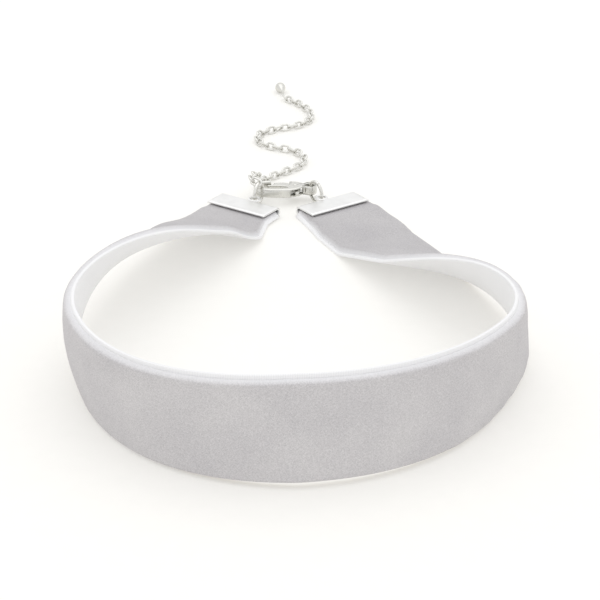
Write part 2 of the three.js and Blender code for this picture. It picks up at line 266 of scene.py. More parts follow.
def tube(points, radius, sides, closed=False):
    """(vertices, faces) of a round wire along points, turned as little as it can be from ring to ring.

    An open one ends in flat faces.
    """
    count = len(points)
    verts, faces = [], []
    across = None
    for i, p in enumerate(points):
        ahead = points[(i + 1) % count] if closed or i + 1 < count else p
        behind = points[i - 1] if closed or i else p
        direction = (ahead - behind).normalized()
        if across is None:
            across = direction.orthogonal().normalized()
        across = (across - direction * across.dot(direction)).normalized()
        other = direction.cross(across)
        for k in range(sides):
            a = 2 * math.pi * k / sides
            verts.append(p + (across * math.cos(a) + other * math.sin(a)) * radius)
    for i in range(count if closed else count - 1):
        for k in range(sides):
            a, b = i * sides + k, i * sides + (k + 1) % sides
            c, d = (a + sides) % len(verts), (b + sides) % len(verts)
            faces.append((a, b, d, c))
    if not closed:
        faces.append(tuple(range(sides))[::-1])
        faces.append(tuple(range(len(verts) - sides, len(verts))))
    return verts, faces


def swept(rows):
    """Faces over rows of points that all have the same number of points, each row closed on itself."""
    width = len(rows[0])
    faces = []
    for i in range(len(rows) - 1):
        for k in range(width):
            a, b = i * width + k, i * width + (k + 1) % width
            faces.append((a, b, b + width, a + width))
    return faces


def lathe(profile, sides):
    """(vertices, faces) of a profile turned about Z. Its (radius, height) pairs start and end on the axis."""
    verts = [Vector((0, 0, profile[0][1]))]
    for r, z in profile[1:-1]:
        for k in range(sides):
            a = 2 * math.pi * k / sides
            verts.append(Vector((r * math.cos(a), r * math.sin(a), z)))
    verts.append(Vector((0, 0, profile[-1][1])))
    faces = []
    rings = len(profile) - 2
    for k in range(sides):
        j = (k + 1) % sides
        faces.append((0, 1 + j, 1 + k))
        for i in range(rings - 1):
            a, b = 1 + i * sides + k, 1 + i * sides + j
            faces.append((a, b, b + sides, a + sides))
        base = 1 + (rings - 1) * sides
        faces.append((base + k, base + j, len(verts) - 1))
    return verts, faces


def mesh_of(name, verts, faces):
    mesh = bpy.data.meshes.new(name)
    mesh.from_pydata([tuple(v) for v in verts], [], faces)
    outward(mesh)
    return mesh


def combined(mesh, tool, operation):
    """mesh joined with or cut by tool, both in millimetres."""
    objects = []
    for m in (mesh, tool):
        obj = bpy.data.objects.new("scratch", m)
        bpy.context.scene.collection.objects.link(obj)
        objects.append(obj)
    modifier = objects[0].modifiers.new("combine", "BOOLEAN")
    modifier.operation = operation
    modifier.solver = "EXACT"
    modifier.object = objects[1]
    graph = bpy.context.evaluated_depsgraph_get()
    made = bpy.data.meshes.new_from_object(objects[0].evaluated_get(graph))
    for obj in objects:
        bpy.data.objects.remove(obj)
    return made


CURVE_STEPS, ARC_STEPS, TOO_CLOSE = 12, 24, 0.01


def traced(start, *moves):
    """The points of a flat outline.

    A move is ("L", x, y), ("B", x1, y1, x2, y2, x, y) or ("A", x, y, radius, from, to), in degrees.
    """
    points = [Vector(start)]
    for kind, *numbers in moves:
        if kind == "L":
            points.append(Vector(numbers))
        elif kind == "B":
            p0, p1, p2, p3 = points[-1], Vector(numbers[0:2]), Vector(numbers[2:4]), Vector(numbers[4:6])
            for i in range(1, CURVE_STEPS + 1):
                t, u = i / CURVE_STEPS, 1 - i / CURVE_STEPS
                points.append(p0 * u**3 + p1 * (3 * u * u * t) + p2 * (3 * u * t * t) + p3 * t**3)
        else:
            x, y, radius, start_angle, end_angle = numbers
            for i in range(ARC_STEPS + 1):
                a = math.radians(lerp(start_angle, end_angle, i / ARC_STEPS))
                points.append(Vector((x + radius * math.cos(a), y + radius * math.sin(a))))
    kept = [points[0]]
    for point in points[1:]:
        if (point - kept[-1]).length > TOO_CLOSE:
            kept.append(point)
    if (kept[-1] - kept[0]).length < TOO_CLOSE:
        kept.pop()
    return kept


SAME_PLACE = 1e-4


def plate_mesh(name, outlines, thickness, bevel):
    """A flat outline, and holes in it, given a thickness and round edges. Its middle plane is z = 0."""
    curve = bpy.data.curves.new(name, "CURVE")
    curve.dimensions = "2D"
    curve.fill_mode = "BOTH"
    curve.extrude = thickness / 2 - bevel
    curve.bevel_depth = bevel
    curve.bevel_resolution = 4
    curve.offset = -bevel
    for outline in outlines:
        spline = curve.splines.new("POLY")
        spline.points.add(len(outline) - 1)
        for point, place in zip(spline.points, outline):
            point.co = (place.x, place.y, 0, 1)
        spline.use_cyclic_u = True
    obj = bpy.data.objects.new(name, curve)
    bpy.context.scene.collection.objects.link(obj)
    graph = bpy.context.evaluated_depsgraph_get()
    mesh = bpy.data.meshes.new_from_object(obj.evaluated_get(graph))
    bpy.data.objects.remove(obj)
    bm = bmesh.new()
    bm.from_mesh(mesh)
    bmesh.ops.remove_doubles(bm, verts=bm.verts, dist=SAME_PLACE)
    bmesh.ops.recalc_face_normals(bm, faces=bm.faces)
    bm.to_mesh(mesh)
    bm.free()
    return mesh


def circle(x, y, radius, count=36):
    angles = [2 * math.pi * k / count for k in range(count)]
    return [Vector((x + radius * math.cos(a), y + radius * math.sin(a))) for a in angles]


# ---- materials ----


def material(name, base, roughness, metallic=0.0, **sockets):
    made = bpy.data.materials.new(name)
    made.use_nodes = True
    nodes = made.node_tree.nodes
    shader = nodes["Principled BSDF"]
    shader.inputs["Base Color"].default_value = (*base, 1)
    shader.inputs["Roughness"].default_value = roughness
    shader.inputs["Metallic"].default_value = metallic
    for socket, value in sockets.items():
        shader.inputs[socket.replace("_", " ")].default_value = value
    return made, nodes, made.node_tree.links, shader


def colour_between(nodes, links, factor, dark, light, low=0.3, high=0.7):
    ramp = nodes.new("ShaderNodeValToRGB")
    ramp.color_ramp.elements[0].position = low
    ramp.color_ramp.elements[0].color = (*dark, 1)
    ramp.color_ramp.elements[1].position = high
    ramp.color_ramp.elements[1].color = (*light, 1)
    links.new(factor, ramp.inputs["Fac"])
    return ramp.outputs["Color"]


def noise_of(nodes, links, where, scale, detail=2.0, roughness=0.5):
    made = nodes.new("ShaderNodeTexNoise")
    made.inputs["Scale"].default_value = scale
    made.inputs["Detail"].default_value = detail
    made.inputs["Roughness"].default_value = roughness
    links.new(where, made.inputs["Vector"])
    return made.outputs["Fac"]


def bumped(nodes, links, shader, height, strength, distance):
    bump = nodes.new("ShaderNodeBump")
    bump.inputs["Strength"].default_value = strength
    bump.inputs["Distance"].default_value = distance
    links.new(height, bump.inputs["Height"])
    links.new(bump.outputs["Normal"], shader.inputs["Normal"])


def fed(links, value, socket):
    """Gives a socket a node's output, a colour or a number."""
    if isinstance(value, bpy.types.NodeSocket):
        links.new(value, socket)
    elif isinstance(value, tuple):
        socket.default_value = (*value, 1)
    else:
        socket.default_value = value


def mixed(nodes, links, a, b, share):
    made = nodes.new("ShaderNodeMix")
    made.data_type = "RGBA"
    fed(links, share, made.inputs["Factor"])
    fed(links, a, made.inputs["A"])
    fed(links, b, made.inputs["B"])
    return made.outputs["Result"]


def mapped(nodes, links, value, source, target=(0.0, 1.0)):
    """A number that runs over target, from its first to its second, as value runs over source."""
    made = nodes.new("ShaderNodeMapRange")
    made.inputs["From Min"].default_value, made.inputs["From Max"].default_value = source
    made.inputs["To Min"].default_value, made.inputs["To Max"].default_value = target
    links.new(value, made.inputs["Value"])
    return made.outputs["Result"]


def ribbon_place(nodes, links):
    """Centimetres along and across the ribbon from its front's middle, as one vector and as two numbers."""
    where = nodes.new("ShaderNodeUVMap")
    where.uv_map = "ribbon"
    split = nodes.new("ShaderNodeSeparateXYZ")
    links.new(where.outputs["UV"], split.inputs[0])
    return where.outputs["UV"], split.outputs["X"], split.outputs["Y"]


def shade(colour, share):
    return tuple(c * share for c in colour)


# The third colour here is a painted highlight: the pile's rounded shoulder at each edge is painted lighter,
# standing in for the sheen it catches.
VELVET, VELVET_LOW, CROWN_HIGHLIGHT = (0.58, 0.565, 0.572), (0.54, 0.524, 0.545), (0.82, 0.82, 0.84)
# The last colour is painted shade: the darker, warmer tone of the ribbon's lowest strip, for the contact
# shade and the floor's warm bounce light there.
GROUND_DARK, GROUND_LIGHT, LOWER_EDGE_SHADE = (0.80, 0.80, 0.815), (0.88, 0.88, 0.885), (0.54, 0.48, 0.39)
# Where the velvet's painted shade starts and is full, in cm from the front's middle, and the share of its
# colour kept there: the back stretches, whose pile faces up, are painted darker.
BACK_SHADE_FROM, BACK_SHADE_SHARES = (8.5, 12.0), (1.0, 0.87)
LOWER_SHADE_STRIP = (-0.90, -0.97)  # cm across the ribbon, where its lower edge is painted darker and warmer, as painted contact shade and painted warm bounce light from the floor


def velvet_pile():
    made, nodes, links, shader = material(
        "velvet_pile",
        VELVET,
        0.95,
        Specular_IOR_Level=0.12,
        Sheen_Weight=0.1,
        Sheen_Roughness=0.35,
        Sheen_Tint=(0.95, 0.94, 0.96, 1),
    )
    uv, along, _ = ribbon_place(nodes, links)
    fine = noise_of(nodes, links, uv, 24, roughness=0.6)
    twill = nodes.new("ShaderNodeTexWave")
    twill.wave_type = "BANDS"
    twill.bands_direction = "DIAGONAL"
    twill.inputs["Scale"].default_value = 8.5
    twill.inputs["Distortion"].default_value = 14.0
    twill.inputs["Detail"].default_value = 3.0
    twill.inputs["Detail Scale"].default_value = 4.0
    links.new(uv, twill.inputs["Vector"])
    weave = mixed(nodes, links, fine, twill.outputs["Fac"], 0.4)
    speckle = colour_between(nodes, links, weave, shade(VELVET, 0.77), shade(VELVET, 1.23))
    patches = noise_of(nodes, links, uv, 0.8, 2.5, 0.55)
    mottle = colour_between(nodes, links, patches, shade(VELVET_LOW, 0.91), shade(VELVET, 1.05), 0.32, 0.68)
    body = mixed(nodes, links, speckle, mottle, 0.45)
    # Painted shade: the velvet is darkened on the back stretches far from the front's middle, where its pile
    # faces up.
    from_front = nodes.new("ShaderNodeMath")
    from_front.operation = "ABSOLUTE"
    links.new(along, from_front.inputs[0])
    back_shade = nodes.new("ShaderNodeVectorMath")
    back_shade.operation = "SCALE"
    links.new(body, back_shade.inputs[0])
    links.new(mapped(nodes, links, from_front.outputs["Value"], BACK_SHADE_FROM, BACK_SHADE_SHARES), back_shade.inputs["Scale"])
    crown = nodes.new("ShaderNodeAttribute")
    crown.attribute_name = "crown"
    # Painted highlight: the pile's shoulder at each edge is mixed towards the lighter colour, most where the
    # crown attribute is lowest.
    tone = mixed(nodes, links, CROWN_HIGHLIGHT, back_shade.outputs["Vector"], crown.outputs["Fac"])
    links.new(tone, shader.inputs["Base Color"])
    bumped(nodes, links, shader, weave, 0.35, 0.00012)
    return made


def ribbon_ground():
    made, nodes, links, shader = material(
        "ribbon_ground",
        (0.86, 0.86, 0.87),
        0.5,
        Specular_IOR_Level=0.3,
        Sheen_Weight=0.15,
        Sheen_Roughness=0.4,
    )
    uv, _, across = ribbon_place(nodes, links)
    ribs = nodes.new("ShaderNodeTexWave")
    ribs.bands_direction = "X"
    ribs.inputs["Scale"].default_value = 11.0
    ribs.inputs["Distortion"].default_value = 0.6
    links.new(uv, ribs.inputs["Vector"])
    fine = noise_of(nodes, links, uv, 45)
    weave = mixed(nodes, links, fine, ribs.outputs["Fac"], 0.4)
    woven = colour_between(nodes, links, weave, GROUND_DARK, GROUND_LIGHT)
    # Painted shade: the lowest strip across the ground cloth is mixed towards a darker, warmer colour, for
    # the contact shade and the floor's warm bounce light at the lower edge.
    lower_shade = mapped(nodes, links, across, LOWER_SHADE_STRIP)
    links.new(mixed(nodes, links, woven, LOWER_EDGE_SHADE, lower_shade), shader.inputs["Base Color"])
    bumped(nodes, links, shader, weave, 0.3, 0.00006)
    return made


def silver(name, base, roughness, grain):
    """Bright plated metal: a little uneven in gloss and tone, with a faint grain."""
    made, nodes, links, shader = material(name, base, roughness, 1.0)
    where = nodes.new("ShaderNodeTexCoord").outputs["Object"]
    uneven = noise_of(nodes, links, where, 420, 3.0)
    tone = colour_between(nodes, links, uneven, shade(base, 0.94), base, 0.25, 0.6)
    links.new(tone, shader.inputs["Base Color"])
    gloss = mapped(nodes, links, uneven, (0.0, 1.0), (roughness * 0.7, roughness * 1.5))
    links.new(gloss, shader.inputs["Roughness"])
    bumped(nodes, links, shader, noise_of(nodes, links, where, grain), 0.08, 0.00002)
    return made


PILE, GROUND = velvet_pile(), ribbon_ground()
PLATED = silver("silver_sheet", (0.88, 0.88, 0.875), 0.3, 2600)
WIRE = silver("silver_round_wire", (0.76, 0.755, 0.725), 0.2, 3000)
CAST = silver("silver_casting", (0.70, 0.695, 0.66), 0.24, 1800)

# ---- the velvet ribbon ----

ROW_STEP = 0.45
UPPER_SELVAGE, LOWER_SELVAGE = 0.85, 0.35
CROWN = 0.65  # how wide the pile's rounded shoulder is
GROUND_SHARE = 0.38  # of the thickness, below the pile
PROUD = 0.35  # the pile's tips past the CAD ribbon's outer face
BOW = 1.2  # how far the ribbon's middle stands out between its edges at the two sides
BOW_COMES, BOW_GOES = (38, 60), (84, 110)
NAP_WAVE, NAP_RIPPLE, TUFT, STRAY = 0.09, 0.17, 0.022, 0.008
RIPPLE_COMES, RIPPLE_GOES = (18, 40), (62, 80)
# The soft folds near a clamp, and how far before it they start and are full.
GATHERED, GATHERS_FROM, GATHERED_BY = 0.3, 26, 9
TOP_COLUMNS = 36
FACE_COLUMNS = 10
EDGE_ROUND = 0.14


def half_section(selvage, low, mid, high):
    """One edge of the section, from the inner face round to the pile's flat top.

    Each point is its inset, its height and how far up the crown it is.
    """
    r = EDGE_ROUND
    points = [(r, low, 0), (r * 0.3, low + r * 0.3, 0), (0, low + r, 0)]
    points += [(0, mid - r, 0), (r * 0.3, mid - r * 0.3, 0), (r, mid, 0)]
    points += [(selvage * 0.55, mid, 0), (selvage * 0.9, mid, 0), (selvage, mid - 0.03, 0)]
    for i in range(7):
        angle = math.radians(lerp(8, 86, i / 6))
        inset = selvage + CROWN * (1 - math.cos(angle))
        points.append((inset, mid + (high - mid) * math.sin(angle), min(1, (i + 1) / 6)))
    return points


def ruffle(side, along, across):
    """How far the pile's tips stand out or lie down: slow waves, ripples on the right, tufts and chance."""
    s = side * along
    slow = noise.noise(Vector((s * 0.09, across * 0.12, 4.0)))
    rippled = smooth(s, *RIPPLE_COMES) * (1 - smooth(s, *RIPPLE_GOES))
    ripple = noise.noise(Vector((s * 0.30 + across * 0.10, across * 0.16, 9.0))) * rippled
    tuft = noise.noise(Vector((s * 2.6, across * 2.6, 1.0)))
    return NAP_WAVE * slow + NAP_RIPPLE * ripple + TUFT * tuft + chance.gauss(0, STRAY)


def ribbon_row(half, along):
    """One section: its points, how far up the pile each is (0 to 1) and where each is across the ribbon."""
    t = half.thickness(along)
    _, edge, _ = half.flap(along)
    w = WIDTH / 2
    calm = 1 - smooth(along, half.length - PINCH_LENGTH, half.length - GAP)
    low, high = -t / 2, t / 2 + PROUD * calm
    mid = low + GROUND_SHARE * t
    flat = []
    for k in range(1, FACE_COLUMNS):
        flat.append((lerp(-w + EDGE_ROUND, edge - EDGE_ROUND, k / FACE_COLUMNS), low, 0))
    upper = [(edge - x, height, pile) for x, height, pile in half_section(UPPER_SELVAGE, low, mid, high)]
    lower = [(-w + x, height, pile) for x, height, pile in half_section(LOWER_SELVAGE, low, mid, high)]
    start, end = upper[-1][0], lower[-1][0]
    top = [(lerp(start, end, k / TOP_COLUMNS), high, 1) for k in range(1, TOP_COLUMNS)]
    outline = flat + upper + top + lower[::-1]
    bow = BOW * smooth(along, *BOW_COMES) * (1 - smooth(along, *BOW_GOES))
    gathered = GATHERED * smooth(along, half.length - GATHERS_FROM, half.length - GATHERED_BY)
    points = []
    for across, height, pile in outline:
        lift = 0
        if pile:
            fold = gathered * noise.noise(Vector((half.side * along * 0.1, across * 0.38, 14.0)))
            standing = clamped((height - mid) / (high - mid))
            lift = (ruffle(half.side, along, across) + fold) * calm * standing
        points.append(half.point(along, across, height + lift + bow * (1 - (across / w) ** 2)))
    dip = min(0.0, min(p.z for p in points))
    for p in points:
        p.z -= dip
    return points, [o[2] for o in outline], [o[0] for o in outline]


def velvet_ribbon():
    rows, places = [], []
    for name, half in HALVES.items():
        end = half.length + INSIDE_CLAMP
        count = round(end / ROW_STEP)
        alongs = [end * i / count for i in range(count + 1)]
        if name == "left":
            alongs = alongs[:0:-1]
        for along in alongs:
            points, pile, across = ribbon_row(half, along)
            rows.append(points)
            places.append((half.side * along, across))
    verts = [in_frame(p) for row in rows for p in row]
    width = len(rows[0])
    ends = [tuple(range(width)), tuple(range(len(verts) - width, len(verts)))[::-1]]
    obj = new_object("velvet_ribbon_cloth", verts, swept(rows) + ends, [PILE, GROUND])
    mesh = obj.data
    uv = mesh.uv_layers.new(name="ribbon")
    on_pile = [pile[k] > 0 and pile[(k + 1) % width] > 0 for k in range(width)]
    # How far up the pile each point is; the velvet material also uses it to place its painted highlight on
    # the pile's shoulders.
    crown = mesh.attributes.new("crown", "FLOAT", "POINT")
    crown.data.foreach_set("value", pile * len(rows))
    for polygon in mesh.polygons:
        columns = sorted(v % width for v in polygon.vertices)
        first = columns[0] if columns[-1] - columns[0] == 1 else width - 1
        polygon.material_index = 0 if len(polygon.vertices) == 4 and on_pile[first] else 1
        for index in polygon.loop_indices:
            vertex = mesh.loops[index].vertex_index
            s, acrosses = places[vertex // width]
            uv.data[index].uv = (s / 10, acrosses[vertex % width] / 10)
    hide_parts("velvet_ribbon")
    return obj


ribbon = velvet_ribbon()

# ---- the folded metal ends ----


WASHER_SIDES, WASHER_ROUNDING = 48, 0.28


def washer(radius, hole, thickness):
    """A flat ring with rounded edges, in millimetres, its middle plane at z = 0."""
    r = thickness * WASHER_ROUNDING
    section = []
    corners = [(radius - r, thickness / 2 - r, 0), (hole + r, thickness / 2 - r, 90)]
    corners += [(hole + r, r - thickness / 2, 180), (radius - r, r - thickness / 2, 270)]
    for x, z, start in corners:
        for k in range(4):
            a = math.radians(start + 30 * k)
            section.append((x + r * math.cos(a), z + r * math.sin(a)))
    verts, faces = [], []
    for i in range(WASHER_SIDES):
        a = 2 * math.pi * i / WASHER_SIDES
        verts += [Vector((x * math.cos(a), x * math.sin(a), z)) for x, z in section]
    width = len(section)
    for i in range(WASHER_SIDES):
        ring, following = i * width, (i + 1) % WASHER_SIDES * width
        for k in range(width):
            after = (k + 1) % width
            faces.append((ring + k, ring + after, following + after, following + k))
    return verts, faces


JAW_STEPS, BEND_STEPS, WIDTH_STEPS = 8, 16, 24
SOFT_EDGE, EDGE_PULL, MOUTH_PULL = 0.1, 0.4, 0.3
CRIMP_AT, CRIMP_WIDTH, CRIMP_HEIGHT = 1.5, 0.28, 0.07


def fold_profile():
    """Pairs of outer and inner points of the folded sheet, from the lower mouth round to the upper one."""
    radius = CLAMP_HEIGHT / 2
    bend = CLAMP_DEPTH - radius
    pairs = []
    for i in range(JAW_STEPS + 1):
        x = bend * i / JAW_STEPS
        pairs.append(((x, 0), (x, PLATE)))
    for i in range(1, BEND_STEPS):
        a = math.radians(-90 + 180 * i / BEND_STEPS)
        c, s = math.cos(a), math.sin(a)
        inner = radius - PLATE
        pairs.append(((bend + radius * c, radius + radius * s), (bend + inner * c, radius + inner * s)))
    for i in range(JAW_STEPS + 1):
        x = bend * (1 - i / JAW_STEPS)
        pairs.append(((x, CLAMP_HEIGHT), (x, CLAMP_HEIGHT - PLATE)))
    return pairs


def clamp_mesh(name):
    """The folded sheet, with soft edges, a low crimped line along each jaw, and its loop, in millimetres."""
    pairs = fold_profile()
    soft = SOFT_EDGE
    count = len(pairs)
    outline = [p[0] for p in pairs] + [p[1] for p in pairs[::-1]]
    middle = [((a[0] + b[0]) / 2, (a[1] + b[1]) / 2) for a, b in pairs]
    centres = middle + middle[::-1]
    half = CLAMP_WIDTH / 2
    steps = [-half, -half + 0.04, -half + soft]
    steps += [lerp(-half + soft, half - soft, k / WIDTH_STEPS) for k in range(1, WIDTH_STEPS)]
    steps += [half - soft, half - 0.04, half]
    rows = []
    for y in steps:
        near_end = clamped((soft - (half - abs(y))) / soft)
        inset = EDGE_PULL * near_end * near_end
        row = []
        for k, ((x, z), (cx, cz)) in enumerate(zip(outline, centres)):
            outer = k < count
            mouth = clamped((soft - x) / soft) * MOUTH_PULL
            pull = max(inset, mouth)
            z = lerp(z, cz, pull)
            if outer:
                line = math.exp(-(((x - CRIMP_AT) / CRIMP_WIDTH) ** 2)) * CRIMP_HEIGHT
                z += line if z < CLAMP_HEIGHT / 2 else -line
            row.append(Vector((lerp(x, cx, inset), y, z)))
        rows.append(row)
    width = len(outline)
    faces = swept(rows)
    last = (len(rows) - 1) * width
    for k in range(count - 1):
        faces.append((k, k + 1, width - 2 - k, width - 1 - k))
        faces.append((last + k + 1, last + k, last + width - 1 - k, last + width - 2 - k))
    sheet = mesh_of(name, [v for row in rows for v in row], faces)
    verts, faces = washer(LOOP_RADIUS, LOOP_HOLE, LOOP_THICKNESS)
    centre = Vector((CLAMP_DEPTH + LOOP_HOLE, 0, LOOP_HEIGHT))
    return combined(sheet, mesh_of("loop", [v + centre for v in verts], faces), "UNION")


def placed_mm(mesh, position, angle):
    """Turns a mesh in millimetres about Z, moves it and brings it into the frame."""
    move = Matrix.Translation(Vector(position)) @ Matrix.Rotation(angle, 4, "Z")
    mesh.transform(Matrix.Translation(SHIFT) @ Matrix.Scale(MM, 4) @ move)


def end_clamp(side):
    mouth, ahead = HALVES[side].seat()
    mesh = clamp_mesh(f"{side}_clamp_sheet")
    placed_mm(mesh, (mouth.x, mouth.y, 0), math.atan2(ahead.y, ahead.x))
    obj = finished(f"{side}_folded_clamp", mesh, [PLATED])
    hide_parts(f"{side}_end_clamp")
    return obj


def loop_centre(side):
    mouth, ahead = HALVES[side].seat()
    place = mouth + ahead * (CLAMP_DEPTH + LOOP_HOLE)
    return Vector((place.x, place.y, LOOP_HEIGHT))


clamps = {side: end_clamp(side) for side in HALVES}

# ---- the jump rings ----

LOOP_REACH = math.sqrt(RING_RADIUS**2 - (RING_HEIGHT - LOOP_HEIGHT) ** 2)
CLASP_REACH = math.sqrt(RING_RADIUS**2 - (RING_HEIGHT - CLASP_HEIGHT) ** 2)


def from_loop(side, heading, distance, height):
    place = loop_centre(side) + Vector((math.cos(heading), math.sin(heading), 0)) * distance
    return Vector((place.x, place.y, height))


def far_side(side, heading):
    return from_loop(side, heading, LOOP_REACH + CLASP_REACH, CLASP_HEIGHT)


def left_ring_heading(right_heading):
    to_eye = (far_side("right", right_heading) - loop_centre("left")).to_2d()
    reach = LOOP_REACH + CLASP_REACH
    span = EYE_X - RING_SEAT
    opening = (reach**2 + to_eye.length_squared - span**2) / (2 * reach * to_eye.length)
    return math.atan2(to_eye.y, to_eye.x) + math.acos(opening)


HEADING = {"right": math.radians(RIGHT_RING_HEADING)}
HEADING["left"] = left_ring_heading(HEADING["right"])


def ring_centre(side):
    return from_loop(side, HEADING[side], LOOP_REACH, RING_HEIGHT)


RING_STEPS, RING_CUT = 72, 1.2


def jump_ring(side, cut_at):
    """A wire ring on edge, with the hairline cut that it was closed at, cut_at degrees round it."""
    cut = math.radians(RING_CUT)
    start = math.radians(cut_at) + cut
    along = Vector((math.cos(HEADING[side]), math.sin(HEADING[side]), 0))
    points = []
    for i in range(RING_STEPS + 1):
        a = lerp(start, start + 2 * (math.pi - cut), i / RING_STEPS)
        reach, rise = RING_RADIUS * math.cos(a), RING_RADIUS * math.sin(a)
        points.append(ring_centre(side) + along * reach + UP * rise)
    verts, faces = tube(points, RING_WIRE, 16)
    obj = new_object(f"{side}_wire_ring", [in_frame(v) for v in verts], faces, [WIRE])
    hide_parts(f"{side}_jump_ring")


jump_ring("left", 62)
jump_ring("right", 118)

# ---- the lobster clasp ----

eye = far_side("right", HEADING["right"])
back = eye - far_side("left", HEADING["left"])
CLASP_ANGLE = math.atan2(back.y, back.x)
CLASP_PLACE = eye - Matrix.Rotation(CLASP_ANGLE, 3, "Z") @ Vector((EYE_X, 0, 0))
MEET = 145  # degrees round the eye, where the claw's outline runs into it
meet_x = EYE_X + EYE_RADIUS * math.cos(math.radians(MEET))
meet_y = EYE_RADIUS * math.sin(math.radians(MEET))

claw = traced(
    (1.1, 2.3),
    ("B", 2.6, 2.4, 3.4, 1.9, meet_x, meet_y),
    ("A", EYE_X, 0, EYE_RADIUS, MEET, -MEET),
    ("B", 3.4, -2.1, 2.4, -3.1, 0, -3.2),
    ("B", -5.0, -3.3, -7.4, -2.3, -7.4, 0.1),
    ("B", -7.4, 2.4, -5.6, 3.2, -3.3, 3.1),
    ("L", -3.2, 2.2),
    ("B", -5.0, 2.2, -6.1, 1.5, -6.1, 0.1),
    ("B", -6.1, -1.5, -4.4, -2.0, -1.0, -1.9),
    ("B", 0.4, -1.9, 0.9, -1.4, 0.9, -0.6),
    ("L", 1.1, 2.3),
)
px, py = PIVOT
slot_outline = [
    Vector(p)
    for p in (
        (px - 2.4, 4),
        (px - 2.4, py - 1.2),
        (px - 1.2, py - 1.2),
        (px - 1.1, -5),
        (px + 2.6, -5),
        (px + 1.7, py),
        (px + 1.7, 4),
    )
]
lever_outline = traced(
    (px + 0.2, py + LEVER_BOSS),
    ("B", 1.6, 2.6, 0.6, 3.1, -1.0, 3.1),
    ("L", -2.5, 3.0),
    ("L", -2.8, 1.8),
    ("L", -4.1, 1.7),
    ("L", -4.1, 1.1),
    ("B", -2.4, 1.2, -0.4, 1.3, 1.1, 0.2),
    ("A", px, py, LEVER_BOSS, 180, 252),
    ("L", px - 0.1, -3.0),
    ("B", px - 0.2, -4.0, px + 1.0, -4.0, px + 0.9, -3.0),
    ("L", px + 0.9, -1.0),
    ("A", px, py, LEVER_BOSS, -54, 72),
)


CLAW_BEVEL, LEVER_BEVEL, LEVER_HOLE = 0.42, 0.2, 0.62


def clasp_piece(name, mesh, node, body):
    placed_mm(mesh, CLASP_PLACE, CLASP_ANGLE)
    obj = finished(name, mesh, [CAST], body)
    if node:
        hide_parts(node)


def clasp_body():
    solid = plate_mesh("claw", [claw, circle(EYE_X, 0, EYE_HOLE)], CLASP_THICKNESS, CLAW_BEVEL)
    slot = plate_mesh("slot", [slot_outline], SLOT_WIDTH, 0.0)
    return combined(solid, slot, "DIFFERENCE")


def rivet():
    """The pin that the lever turns on, with a domed head on each face."""
    half = CLASP_THICKNESS / 2
    profile = [(0, -half - 0.14), (0.3, -half - 0.11), (0.52, -half - 0.02), (0.55, -half + 0.1)]
    profile += [(0.45, -half + 0.2), (0.45, half - 0.2)]
    profile += [(0.55, half - 0.1), (0.52, half + 0.02), (0.3, half + 0.11), (0, half + 0.14)]
    verts, faces = lathe(profile, 28)
    return mesh_of("rivet", [v + Vector((px, py, 0)) for v in verts], faces)


def clasp_lever():
    return plate_mesh("lever", [lever_outline, circle(px, py, LEVER_HOLE, 24)], LEVER_THICKNESS, LEVER_BEVEL)


clasp_piece("clasp_claw", clasp_body(), "clasp_body", "necklace")
clasp_piece("clasp_rivet", rivet(), None, "necklace")
clasp_piece("clasp_thumb_lever", clasp_lever(), "clasp_lever", "lever")

# ---- the extender chain ----

LINK_LENGTH, LINK_WIDTH, LINK_WIRE, PITCH = 3.2, 2.2, 0.28, 2.08
FIRST_LINK, LAST_GAP = 0.65, 0.6
FLOOR_RIDE = 0.88  # the height of its middle line where it lies on the floor
LINK_ROLL, ROLL_CHANCE = 45, 9
# Its middle line from the top of the left ring, in mm: x and y from that ring's centre, and the height over
# the floor, which is never less than FLOOR_RIDE.
ROUTE = [
    (0, 0, 5.25), (-1.1, 0.5, 5.6), (-1.7, 1.6, 5.6), (-1.5, 3.4, 5.5), (-1.1, 5.4, 5.3), (-0.6, 7.4, 4.3),
    (0, 9.2, 2.8), (0.7, 11.4, 1.4), (2.5, 15, 0), (6.5, 19, 0), (10, 23.5, 0), (10.5, 29, 0),
    (7.5, 33.5, 0), (2.5, 36, 0), (-1, 40, 0), (-0.5, 45.5, 0), (4, 49.5, 0), (9, 52, 0),
    (12.5, 57, 0), (12, 63.5, 0), (9.5, 69, 0), (6, 73.5, 0), (5, 77, 0),
]


def route_points():
    centre = ring_centre("left")
    knots = [Vector((centre.x + x, centre.y + y, max(z, FLOOR_RIDE))) for x, y, z in ROUTE]
    knots = [knots[0] * 2 - knots[1], *knots, knots[-1] * 2 - knots[-2]]
    points = []
    for i in range(1, len(knots) - 2):
        points += [catmull(knots[i - 1 : i + 3], k / 20) for k in range(20)]
    return [*points, knots[-2]]


class Line:
    """A polyline that can be read by the distance along it."""

    def __init__(self, points):
        self.points, self.reach = points, [0.0]
        for a, b in zip(points, points[1:]):
            self.reach.append(self.reach[-1] + (b - a).length)
        self.length = self.reach[-1]

    def at(self, distance):
        i = 0
        while i < len(self.points) - 2 and self.reach[i + 1] < distance:
            i += 1
        part = (distance - self.reach[i]) / (self.reach[i + 1] - self.reach[i])
        return self.points[i].lerp(self.points[i + 1], part)


def link_points(centre, along, across, length, width, wire):
    """The closed oval that a link's wire follows."""
    radius, straight = width / 2 - wire, (length - width) / 2
    points = []
    for k in range(32):
        a = 2 * math.pi * k / 32
        shift = straight if math.cos(a) > 0 else -straight
        points.append(centre + along * (radius * math.cos(a) + shift) + across * (radius * math.sin(a)))
    return points


